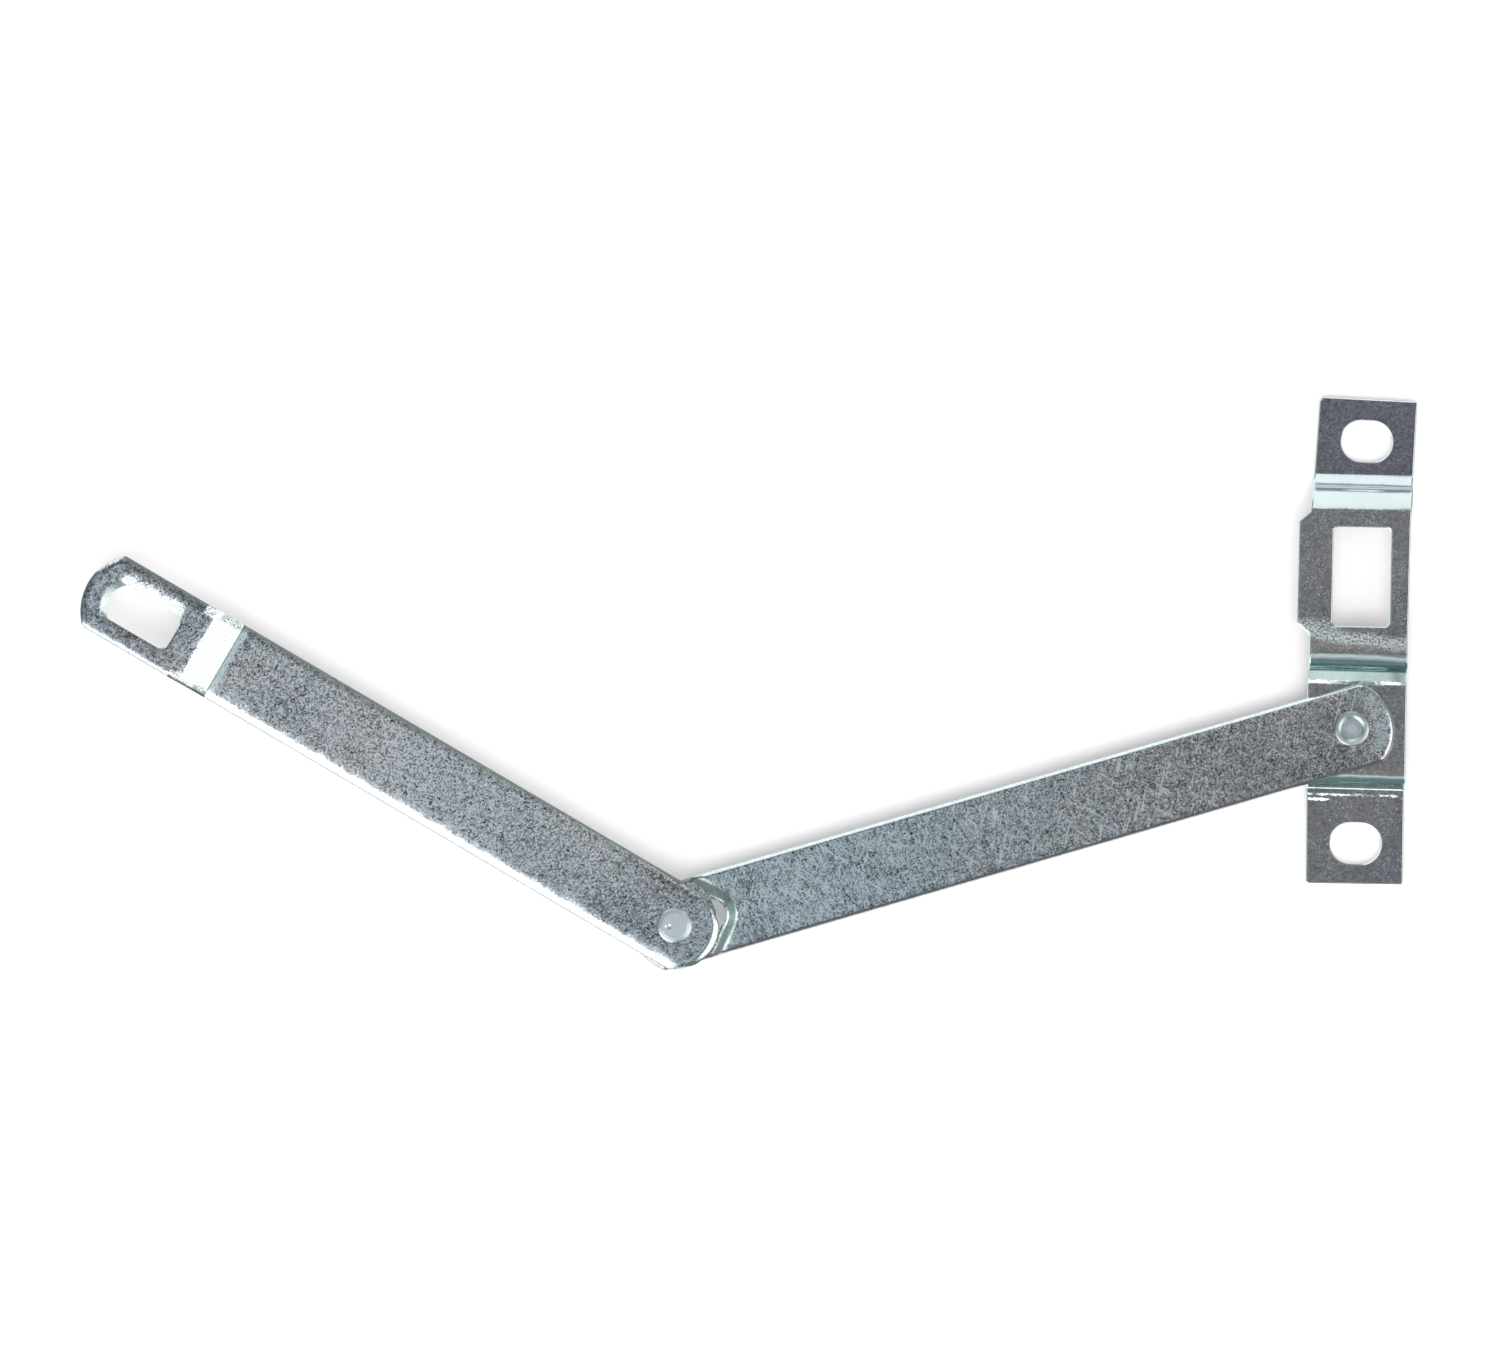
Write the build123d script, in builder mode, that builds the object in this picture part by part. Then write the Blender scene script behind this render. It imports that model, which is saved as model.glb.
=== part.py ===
from build123d import *
import math
import os

# Tailgate hinge: a folding steel stay of two flat arms on a joggled mounting
# bracket. Frame: Z is up, away from the surface the bracket is bolted to. The
# origin lies on that surface, midway between the two bracket slots, and +Y runs
# from the lower slot to the upper one. All sizes are in millimetres.

# ---------------------------------------------------------------- sheet and levels
sheet = 3.0                    # thickness of the bracket and of both arms
play = 0.1                     # running gap between stacked faces
seat_rise = 4.5                # rivet seat of the bracket above its end tabs
window_rise = 9.0              # windowed section of the bracket above its end tabs
pad_rise = 2.5                 # raised end pad of the bracket arm
hook_rise = 6.5                # slotted end of the slotted arm above the rest of it

seat_top = seat_rise + sheet
bracket_arm_z = seat_top + play
pad_z = bracket_arm_z + pad_rise
slotted_arm_z = pad_z + sheet + play
hook_z = slotted_arm_z + hook_rise

# ---------------------------------------------------------------- bracket
slot_pitch = 123.84            # centre to centre of the two slots
slot_length = 16.5             # across the bracket, at the upper face
slot_width = 13.3
slot_taper = 0.55              # how far each slot wall draws in towards the back
upper_slot_turn = -2.0
window_size = (17.75, 30.4)
window_centre = (-0.86, 20.15)
window_turn = 0.5
window_corner = 1.5
bracket_edge = 0.35            # rounding of the bracket's upper edges

# upper surface of the bracket seen from the side: (y, height above the tabs)
bend_points = [
    (95.0, 0.0),
    (48.65, 0.0),
    (46.10, window_rise),
    (-7.43, window_rise),
    (-8.88, seat_rise + 0.63),
    (-12.90, seat_rise),
    (-42.64, seat_rise),
    (-44.74, 0.0),
    (-95.0, 0.0),
]
bend_radii = [4.2, 7.3, 5.6, 0.0, 0.0, 3.5, 0.8]      # on the upper surface
back_radii = [7.2, 4.3, 2.4, 3.6, 0.0, 0.5, 3.8]      # on the back

# plan outline, counter-clockwise from the lower left corner: (x, y, corner radius)
bracket_outline = [
    (-14.80, -74.45, 0.7),
    (14.95, -74.10, 0.7),
    (14.60, -49.30, 0.0),
    (14.35, -30.00, 0.0),
    (14.15, -10.50, 0.0),
    (13.78, 2.00, 0.0),
    (13.75, 38.20, 0.0),
    (14.68, 52.35, 0.0),
    (15.28, 74.60, 1.0),
    (-13.75, 75.30, 0.3),
    (-14.70, 73.80, 0.4),
    (-15.70, 51.50, 0.0),
    (-17.00, 39.90, 0.0),
    (-20.42, 36.75, 0.5),
    (-20.28, 5.55, 0.8),
    (-16.20, 2.10, 3.0),
    (-16.20, -15.00, 0.0),
    (-15.87, -33.50, 0.0),
    (-15.30, -50.10, 0.0),
]

# ---------------------------------------------------------------- arms
arm_width = 25.4
arm_end_radius = 15.6          # flat-crowned ends
arm_end_reach = 13.3           # end apex beyond the rivet axis
arm_corner = 2.0               # where the end meets the straight sides
arm_roll = 1.8                 # stamped roll-over of the visible edges

bracket_pivot = (-2.64, -26.49)
bracket_arm_turn = 197.8       # direction of the bracket arm, degrees from +X
arm_pitch = 216.36             # rivet to rivet
pad_nose_centre = 11.83        # centre of the pad's rounded nose, from the elbow rivet
pad_nose_radius = 5.37         # rim of the pad there
pad_flank_turn = 39.6          # the pad's flanks, from square across the arm
pad_flank_length = 18.9

slotted_arm_turn = 151.22      # direction of the slotted arm, degrees from +X
slotted_arm_tip = 208.0        # elbow rivet to the far end
hook_tip_radius = 18.0         # crown of the far end
elbow_end_radius = 13.6        # crown round the elbow rivet
slotted_arm_roll = 2.6         # its sides are rolled over almost the whole thickness
slotted_arm_corner = 3.0       # where its ends meet the straight sides
joggle_start = 160.1           # sharp crease
joggle_end = 170.5             # where the slotted tab becomes flat
joggle_lead = 3.0              # slight lift just before the crease
joggle_lead_turn = 7.0
joggle_turn = 35.0             # slope of the joggle
joggle_top_radius = 4.0
hook_slot_x = (177.3, 201.85)  # slot, measured along the arm from the elbow rivet
hook_slot_y = (-5.25, 6.70)
hook_near_corner = 2.8
hook_far_radius = 9.2
hook_far_corners = (2.2, 0.7)
hook_slot_roll = 0.9
hook_far_slope = (2.6, 1.7)    # the slot's far wall leans in: depth and reach
hook_far_arc = 110.0           # how far round the leaning wall runs, degrees

# ---------------------------------------------------------------- rivets
shank_r = 3.20
fixed_hole_r = 3.25
turning_hole_r = 3.28
head_r = 5.4
head_height = 1.9
back_head_r = 5.0
back_head_height = 1.9
mark_at = (-2.0, -0.45)        # small peening mark in the elbow head

elbow_pivot = (
    bracket_pivot[0] + arm_pitch * math.cos(math.radians(bracket_arm_turn)),
    bracket_pivot[1] + arm_pitch * math.sin(math.radians(bracket_arm_turn)),
)


def arm_plane(at, turn):
    """Plane lying on the mounting surface, X along an arm from its rivet."""
    t = math.radians(turn)
    return Plane(
        origin=(at[0], at[1], 0),
        x_dir=(math.cos(t), math.sin(t), 0),
        z_dir=(0, 0, 1),
    )


def lowered(points, depth):
    """The same bent line, parallel to the first and depth below it."""
    norm = []
    for a, b in zip(points, points[1:]):
        dx, dz = b[0] - a[0], b[1] - a[1]
        n = math.hypot(dx, dz)
        nx, nz = -dz / n, dx / n
        if nz > 0:
            nx, nz = -nx, -nz
        norm.append((nx, nz))
    out = [(points[0][0], points[0][1] - depth)]
    for p, a, b in zip(points[1:-1], norm, norm[1:]):
        k = depth / (1 + a[0] * b[0] + a[1] * b[1])
        out.append((p[0] + k * (a[0] + b[0]), p[1] + k * (a[1] + b[1])))
    out.append((points[-1][0], points[-1][1] - depth))
    return out


def upper_rim(part):
    """Edges where an upward surface meets an upright sheared wall."""
    up, wall = set(), set()
    for f in part.faces():
        n = f.normal_at(f.center())
        if n.Z > 0.15:
            up.update(f.edges())
        elif abs(n.Z) < 0.02:
            wall.update(f.edges())
    return ShapeList(up & wall)


# ================================================================= mounting bracket
upper_side = [(y, z + sheet) for y, z in bend_points]
lower_side = lowered(upper_side, sheet)

with BuildPart() as mounting_bracket:
    with BuildSketch(Plane.YZ.offset(-30)):
        with BuildLine():
            top_line = FilletPolyline(*upper_side, radius=bend_radii)
            back_line = FilletPolyline(*lower_side, radius=back_radii)
            Line(top_line @ 0, back_line @ 0)
            Line(top_line @ 1, back_line @ 1)
        make_face()
    extrude(amount=60)
    with BuildSketch(Plane.XY.offset(-1)):
        with BuildLine():
            FilletPolyline(
                *[(x, y) for x, y, r in bracket_outline],
                radius=[r for x, y, r in bracket_outline],
                close=True,
            )
        make_face()
        with Locations(
            Location((window_centre[0], window_centre[1], 0), (0, 0, window_turn))
        ):
            RectangleRounded(*window_size, window_corner, mode=Mode.SUBTRACT)
        with Locations(bracket_pivot):
            Circle(fixed_hole_r, mode=Mode.SUBTRACT)
    extrude(amount=20, mode=Mode.INTERSECT)

    # fine rounding where the upper surface meets the sheared sides
    fillet(
        upper_rim(mounting_bracket.part).filter_by(
            lambda e: e.geom_type != GeomType.CIRCLE or e.radius > fixed_hole_r + 0.01
            or e.length < 6
        ),
        bracket_edge,
    )

    # the two slots run across the bracket and narrow a little towards the back
    for y, turn in ((slot_pitch / 2, upper_slot_turn), (-slot_pitch / 2, 0.0)):
        for h, shrink in ((0.0, slot_taper), (sheet, 0.0)):
            with BuildSketch(Plane.XY.offset(h)):
                with Locations(Location((0, y, 0), (0, 0, turn))):
                    SlotOverall(slot_length - 2 * shrink, slot_width - shrink)
        loft(mode=Mode.SUBTRACT)

# ================================================================= bracket arm
# Lies on the rivet seat. A curved step lifts its far end into a pad.
arm_a = arm_plane(bracket_pivot, bracket_arm_turn)
nose_x = arm_pitch - pad_nose_centre
end_corner = math.sqrt(arm_end_radius**2 - (arm_width / 2) ** 2) - (
    arm_end_radius - arm_end_reach
)

# section of the step: (distance outwards from the pad's rim, height)
step_top = [
    (-4.0, pad_z + sheet),
    (-0.4, pad_z + sheet),
    (2.4, bracket_arm_z + sheet),
    (14.0, bracket_arm_z + sheet),
]
step_back = [
    (-4.0, pad_z),
    (-1.8, pad_z),
    (0.8, bracket_arm_z),
    (14.0, bracket_arm_z),
]

# plan line of the pad's rim: flank, rounded nose, flank
flank = math.radians(pad_flank_turn)
nose = [
    (nose_x - pad_nose_radius * math.cos(flank), -pad_nose_radius * math.sin(flank)),
    (nose_x - pad_nose_radius, 0),
    (nose_x - pad_nose_radius * math.cos(flank), pad_nose_radius * math.sin(flank)),
]
flank_start = (
    nose[0][0] + pad_flank_length * math.sin(flank),
    nose[0][1] - pad_flank_length * math.cos(flank),
)
flank_end = (flank_start[0], -flank_start[1])

with BuildPart() as bracket_arm:
    with BuildLine(arm_a) as step_path:
        Line(flank_start, nose[0])
        ThreePointArc(*nose)
        Line(nose[2], flank_end)
    with BuildSketch(
        Plane(
            origin=arm_a.from_local_coords((flank_start[0], flank_start[1], 0)),
            x_dir=arm_a.x_dir * -math.cos(flank) + arm_a.y_dir * -math.sin(flank),
            z_dir=arm_a.x_dir * -math.sin(flank) + arm_a.y_dir * math.cos(flank),
        )
    ):
        with BuildLine():
            upper = FilletPolyline(*step_top, radius=[1.6, 2.0])
            under = FilletPolyline(*step_back, radius=[0.5, 1.6])
            Line(upper @ 0, under @ 0)
            Line(upper @ 1, under @ 1)
        make_face()
    sweep(path=step_path.line)
    # flat of the pad, and flat of the arm up to the step
    with BuildSketch(arm_a.offset(pad_z)):
        with BuildLine():
            Polyline(
                (nose_x - 3.0, 0),
                (arm_pitch - 1.0, -17.0),
                (arm_pitch + 40, -17.0),
                (arm_pitch + 40, 17.0),
                (arm_pitch - 1.0, 17.0),
                (nose_x - 3.0, 0),
            )
        make_face()
    extrude(amount=sheet)
    with BuildSketch(arm_a.offset(bracket_arm_z)):
        with Locations(((nose_x - 14.0 - 40) / 2, 0)):
            Rectangle(nose_x - 14.0 + 40, 40)
    extrude(amount=sheet)
    with BuildSketch(arm_a.offset(-1)):
        with BuildLine():
            near = ThreePointArc(
                (-end_corner, arm_width / 2),
                (-arm_end_reach, 0),
                (-end_corner, -arm_width / 2),
            )
            far = ThreePointArc(
                (arm_pitch + end_corner, -arm_width / 2),
                (arm_pitch + arm_end_reach, 0),
                (arm_pitch + end_corner, arm_width / 2),
            )
            Line(near @ 1, far @ 0)
            Line(far @ 1, near @ 0)
        make_face()
        fillet(vertices(), arm_corner)
        Circle(turning_hole_r, mode=Mode.SUBTRACT)
        with Locations((arm_pitch, 0)):
            Circle(fixed_hole_r, mode=Mode.SUBTRACT)
    extrude(amount=40, mode=Mode.INTERSECT)
    fillet(
        upper_rim(bracket_arm.part).filter_by(
            lambda e: e.geom_type != GeomType.CIRCLE or e.radius > 8 or e.length < 6
        ),
        arm_roll,
    )

# ================================================================= slotted arm
# Lies on the pad. Beyond a sharp crease its slotted end is lifted clear.
arm_b = arm_plane(elbow_pivot, slotted_arm_turn)
cut_a = joggle_start - joggle_lead - 2.5
cut_b = joggle_end + 1.0

elbow_corner = math.sqrt(elbow_end_radius**2 - (arm_width / 2) ** 2)

with BuildPart() as arm_bar:
    with BuildSketch(arm_b.offset(slotted_arm_z)):
        with BuildLine():
            near = ThreePointArc(
                (-elbow_corner, arm_width / 2),
                (-elbow_end_radius, 0),
                (-elbow_corner, -arm_width / 2),
            )
            Polyline(
                near @ 1,
                (cut_a, -arm_width / 2),
                (cut_a, arm_width / 2),
                near @ 0,
            )
        make_face()
        fillet(vertices().group_by(Axis.X)[0], slotted_arm_corner)
        Circle(turning_hole_r, mode=Mode.SUBTRACT)
    extrude(amount=sheet)

    fillet(
        upper_rim(arm_bar.part).filter_by(
            lambda e: e.length > 0.5
            and arm_b.to_local_coords(e.center()).X < cut_a - 0.1
            and (e.geom_type != GeomType.CIRCLE or e.radius > 8 or e.length < 6)
        ),
        slotted_arm_roll,
    )

# the joggle keeps the bar's rounded section along one bent line
lead = math.radians(joggle_lead_turn)
rise_x = joggle_end - joggle_top_radius * math.tan(math.radians(joggle_turn / 2))
crease_z = (joggle_start - (joggle_start - joggle_lead)) * math.tan(lead)
joggle_points = lowered(
    [
        (cut_a, slotted_arm_z + sheet),
        (joggle_start - joggle_lead, slotted_arm_z + sheet),
        (joggle_start, slotted_arm_z + sheet + crease_z),
        (rise_x, hook_z + sheet),
        (cut_b, hook_z + sheet),
    ],
    sheet / 2,
)

with BuildPart() as arm_joggle:
    with BuildLine(
        Plane(
            origin=arm_b.origin, x_dir=arm_b.x_dir, z_dir=-arm_b.y_dir
        )
    ) as joggle_path:
        FilletPolyline(
            *joggle_points,
            radius=[20.0, sheet / 2 + 0.6, joggle_top_radius - sheet / 2],
        )
    with BuildSketch(
        Plane(
            origin=arm_b.from_local_coords((cut_a, 0, slotted_arm_z + sheet / 2)),
            x_dir=arm_b.y_dir,
            z_dir=arm_b.x_dir,
        )
    ):
        Rectangle(arm_width, sheet)
        fillet(vertices().group_by(Axis.Y)[-1], slotted_arm_roll)
    sweep(path=joggle_path.line)

with BuildPart() as arm_hook:
    with BuildSketch(arm_b.offset(hook_z)):
        with BuildLine():
            tip_corner = (
                slotted_arm_tip
                - hook_tip_radius
                + math.sqrt(hook_tip_radius**2 - (arm_width / 2) ** 2)
            )
            far = ThreePointArc(
                (tip_corner, -arm_width / 2),
                (slotted_arm_tip, 0),
                (tip_corner, arm_width / 2),
            )
            Polyline(
                far @ 1,
                (cut_b, arm_width / 2),
                (cut_b, -arm_width / 2),
                far @ 0,
            )
        make_face()
        fillet(vertices().group_by(Axis.X)[-1], slotted_arm_corner)
        # D-shaped slot: square near end, shallow round far end
        with BuildLine():
            slot_mid = (hook_slot_y[0] + hook_slot_y[1]) / 2
            slot_half = (hook_slot_y[1] - hook_slot_y[0]) / 2
            slot_shoulder = (
                hook_slot_x[1]
                - hook_far_radius
                + math.sqrt(hook_far_radius**2 - slot_half**2)
            )
            crown = ThreePointArc(
                (slot_shoulder, hook_slot_y[0]),
                (hook_slot_x[1], slot_mid),
                (slot_shoulder, hook_slot_y[1]),
            )
            FilletPolyline(
                crown @ 1,
                (hook_slot_x[0], hook_slot_y[1]),
                (hook_slot_x[0], hook_slot_y[0]),
                crown @ 0,
                radius=hook_near_corner,
            )
        make_face(mode=Mode.SUBTRACT)
        for end, radius in zip(hook_slot_y, hook_far_corners):
            fillet(vertices().sort_by_distance((slot_shoulder, end))[0], radius)
    extrude(amount=sheet)
    fillet(
        upper_rim(arm_hook.part).filter_by(
            lambda e: arm_b.to_local_coords(e.center()).X > cut_b + 0.1
            and (
                abs(arm_b.to_local_coords(e.center()).Y) > 9.5
                or arm_b.to_local_coords(e.center()).X > hook_slot_x[1] + 2
            )
        ),
        slotted_arm_roll,
    )
    fillet(
        upper_rim(arm_hook.part).filter_by(
            lambda e: abs(arm_b.to_local_coords(e.center()).Y) < 9.5
            and cut_b + 2 < arm_b.to_local_coords(e.center()).X < hook_slot_x[1] + 1
        ),
        hook_slot_roll,
    )
    # the slot's far wall leans in below a fine edge
    far_axis = arm_b.from_local_coords((hook_slot_x[1] - hook_far_radius, slot_mid, 0))
    start_turn = math.radians(slotted_arm_turn - hook_far_arc / 2)
    with BuildSketch(
        Plane(
            origin=(far_axis.X, far_axis.Y, hook_z),
            x_dir=(math.cos(start_turn), math.sin(start_turn), 0),
            z_dir=(math.sin(start_turn), -math.cos(start_turn), 0),
        )
    ):
        with BuildLine():
            lean = FilletPolyline(
                (hook_far_radius + 1.0, 0),
                (hook_far_radius - hook_far_slope[1], 0),
                (hook_far_radius - hook_far_slope[1], sheet - hook_far_slope[0]),
                (hook_far_radius, sheet),
                (hook_far_radius + 1.0, sheet),
                radius=[0.0, 0.0, 0.6],
            )
            Line(lean @ 1, lean @ 0)
        make_face()
    revolve(
        axis=Axis((far_axis.X, far_axis.Y, 0), (0, 0, 1)),
        revolution_arc=hook_far_arc,
    )

with BuildPart() as slotted_arm:
    add(arm_bar.part)
    add(arm_joggle.part)
    add(arm_hook.part)

# ================================================================= rivets
def rivet_plane(at):
    """Upright plane through a rivet axis, X outwards and Y up."""
    return Plane(origin=(at[0], at[1], 0), x_dir=(1, 0, 0), z_dir=(0, -1, 0))


grip_a = bracket_arm_z + sheet + play      # under the bracket rivet's head
grip_b = slotted_arm_z + sheet + play      # under the elbow rivet's head

# upset head with a raised rim round a shallow dish
with BuildPart() as bracket_rivet:
    with BuildSketch(rivet_plane(bracket_pivot)):
        with BuildLine():
            FilletPolyline(
                (0, seat_rise - back_head_height),
                (back_head_r, seat_rise - back_head_height),
                (back_head_r, seat_rise),
                (shank_r, seat_rise),
                (shank_r, grip_a),
                (head_r, grip_a),
                (head_r - 0.05, grip_a + head_height - 0.15),
                (head_r - 1.25, grip_a + head_height),
                (head_r - 2.25, grip_a + head_height - 0.55),
                (0, grip_a + head_height - 0.65),
                radius=[0.9, 0.0, 0.0, 0.0, 0.0, 0.6, 0.5, 0.4],
            )
            Line((0, grip_a + head_height - 0.65), (0, seat_rise - back_head_height))
        make_face()
    revolve(axis=Axis((bracket_pivot[0], bracket_pivot[1], 0), (0, 0, 1)))

# flat-domed head with one small peening mark beside its middle
with BuildPart() as elbow_rivet:
    with BuildSketch(rivet_plane(elbow_pivot)):
        with BuildLine():
            FilletPolyline(
                (0, pad_z - back_head_height),
                (back_head_r, pad_z - back_head_height),
                (back_head_r, pad_z),
                (shank_r, pad_z),
                (shank_r, grip_b),
                (head_r, grip_b),
                (head_r - 0.1, grip_b + head_height - 0.45),
                (head_r - 1.6, grip_b + head_height - 0.08),
                (0, grip_b + head_height),
                radius=[0.9, 0.0, 0.0, 0.0, 0.0, 0.7, 1.5],
            )
            Line((0, grip_b + head_height), (0, pad_z - back_head_height))
        make_face()
    revolve(axis=Axis((elbow_pivot[0], elbow_pivot[1], 0), (0, 0, 1)))
    with Locations(
        (
            elbow_pivot[0] + mark_at[0],
            elbow_pivot[1] + mark_at[1],
            grip_b + head_height + 1.5,
        )
    ):
        Sphere(1.85, mode=Mode.SUBTRACT)

# ================================================================= pieces
os.makedirs("parts", exist_ok=True)

mounting_bracket.part.label = "mounting_bracket"
export_step(mounting_bracket.part, "parts/mounting_bracket.step")

bracket_arm.part.label = "bracket_arm"
export_step(bracket_arm.part, "parts/bracket_arm.step")

slotted_arm.part.label = "slotted_arm"
export_step(slotted_arm.part, "parts/slotted_arm.step")

bracket_rivet.part.label = "bracket_rivet"
export_step(bracket_rivet.part, "parts/bracket_rivet.step")

elbow_rivet.part.label = "elbow_rivet"
export_step(elbow_rivet.part, "parts/elbow_rivet.step")
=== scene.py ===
import math

import bpy
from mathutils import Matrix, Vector

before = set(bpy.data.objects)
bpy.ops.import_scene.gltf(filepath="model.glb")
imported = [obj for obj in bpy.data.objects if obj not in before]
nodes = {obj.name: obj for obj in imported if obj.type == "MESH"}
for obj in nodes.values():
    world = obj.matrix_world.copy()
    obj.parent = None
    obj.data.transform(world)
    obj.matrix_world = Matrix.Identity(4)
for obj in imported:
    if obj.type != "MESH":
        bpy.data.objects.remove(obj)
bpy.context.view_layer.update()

scene = bpy.context.scene


# ---------------------------------------------------------------- places
# All in metres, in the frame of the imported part.
ELBOW = (-0.20865, -0.09263)          # axis of the elbow rivet
PIVOT = (-0.00264, -0.02649)          # axis of the bracket rivet
SLOTTED_TURN = math.radians(151.22)   # direction of the slotted arm from the elbow
ARM_TURN = math.radians(197.80)       # direction of the bracket arm from its pivot
ARM_LENGTH = 0.21636
KEY = 1.10                             # strength of the key light on the floor
FILL = 1.72                            # strength of the broad fill


# ---------------------------------------------------------------- node helpers
class Tree:
    """Small helper that makes shader nodes and links them in one call."""

    def __init__(self, tree):
        self.t = tree
        self.t.nodes.clear()

    def node(self, kind, **settings):
        n = self.t.nodes.new(kind)
        for k, v in settings.items():
            setattr(n, k, v)
        return n

    def put(self, socket, value):
        if isinstance(value, bpy.types.NodeSocket):
            self.t.links.new(value, socket)
        else:
            socket.default_value = value

    def math(self, op, a, b=0.0, c=0.0, clamp=False):
        n = self.node("ShaderNodeMath", operation=op, use_clamp=clamp)
        for s, v in zip(n.inputs, (a, b, c)):
            self.put(s, v)
        return n.outputs[0]

    def vec(self, op, a, b=(0, 0, 0)):
        n = self.node("ShaderNodeVectorMath", operation=op)
        self.put(n.inputs[0], a)
        if op == "SCALE":
            self.put(n.inputs["Scale"], b)
        elif op != "NORMALIZE":
            self.put(n.inputs[1], b)
        return n.outputs["Value"] if op in ("DOT_PRODUCT", "LENGTH", "DISTANCE") else n.outputs["Vector"]

    def ramp(self, value, low, high, to_low=0.0, to_high=1.0, smooth=True):
        n = self.node("ShaderNodeMapRange", interpolation_type="SMOOTHSTEP" if smooth else "LINEAR", clamp=True)
        for s, v in zip(n.inputs, (value, low, high, to_low, to_high)):
            self.put(s, v)
        return n.outputs[0]

    def ramp_lin(self, value, low, high):
        return self.ramp(value, low, high, smooth=False)

    def node_xyz(self, x, y, z):
        n = self.node("ShaderNodeCombineXYZ")
        for s, v in zip(n.inputs, (x, y, z)):
            self.put(s, v)
        return n.outputs[0]

    def noise(self, where, scale, detail=2.0, rough=0.5, distortion=0.0):
        n = self.node("ShaderNodeTexNoise", noise_dimensions="3D")
        self.put(n.inputs["Vector"], where)
        self.put(n.inputs["Scale"], scale)
        self.put(n.inputs["Detail"], detail)
        self.put(n.inputs["Roughness"], rough)
        self.put(n.inputs["Distortion"], distortion)
        return n.outputs["Fac"]

    def cells(self, where, scale):
        n = self.node("ShaderNodeTexVoronoi", voronoi_dimensions="3D", feature="F1")
        self.put(n.inputs["Vector"], where)
        self.put(n.inputs["Scale"], scale)
        return n.outputs["Color"], n.outputs["Distance"]

    def mapping(self, where, turn=0.0, scale=(1, 1, 1), shift=(0, 0, 0)):
        n = self.node("ShaderNodeMapping", vector_type="TEXTURE")
        self.put(n.inputs["Vector"], where)
        n.inputs["Location"].default_value = shift
        n.inputs["Rotation"].default_value = (0, 0, turn)
        n.inputs["Scale"].default_value = scale
        return n.outputs[0]

    def mix(self, factor, a, b, kind="MIX"):
        n = self.node("ShaderNodeMix", data_type="RGBA", blend_type=kind)
        self.put(n.inputs[0], factor)
        self.put(n.inputs[6], a if isinstance(a, bpy.types.NodeSocket) else (*a, 1.0))
        self.put(n.inputs[7], b if isinstance(b, bpy.types.NodeSocket) else (*b, 1.0))
        return n.outputs[2]

    def parts(self, vector):
        n = self.node("ShaderNodeSeparateXYZ")
        self.put(n.inputs[0], vector)
        return n.outputs


def from_axis(t, where, centre):
    """Distance in metres from a vertical axis, in the piece's own frame."""
    flat = t.vec("MULTIPLY", t.vec("SUBTRACT", where, (*centre, 0.0)), (1, 1, 0))
    return t.vec("LENGTH", flat)


# ---------------------------------------------------------------- zinc plate
def invert(t, value):
    return t.math("SUBTRACT", 1.0, value)


def times(t, *values):
    out = values[0]
    for v in values[1:]:
        out = t.math("MULTIPLY", out, v)
    return out


def plus(t, *values):
    out = values[0]
    for v in values[1:]:
        out = t.math("ADD", out, v)
    return out


def blend_to(t, mask, value, target):
    """value where the mask is 0, target where it is 1."""
    return plus(t, times(t, value, invert(t, mask)), times(t, mask, target))


def band(t, value, low, high, soft):
    """1 between low and high, with soft ends."""
    return times(t, t.ramp(value, low - soft, low), t.ramp(value, high, high + soft, 1.0, 0.0))


def to_world(t, direction):
    """A direction of the object's own frame, as it lies in the scene."""
    turned = t.node("ShaderNodeVectorTransform", vector_type="NORMAL", convert_from="OBJECT", convert_to="WORLD")
    turned.inputs[0].default_value = direction
    return turned.outputs[0]


def line_mark(t, along, start, end, width, wobble):
    """A short scratch between two points of the strip's own frame."""
    d = Vector((end[0] - start[0], end[1] - start[1]))
    local = t.parts(t.mapping(along, turn=math.atan2(d.y, d.x), shift=(start[0], start[1], 0)))
    across = t.math("ABSOLUTE", plus(t, local[1], wobble))
    return times(t, t.ramp(across, width * 0.5, width, 1.0, 0.0), band(t, local[0], 0.0, d.length, 0.0004))


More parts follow.
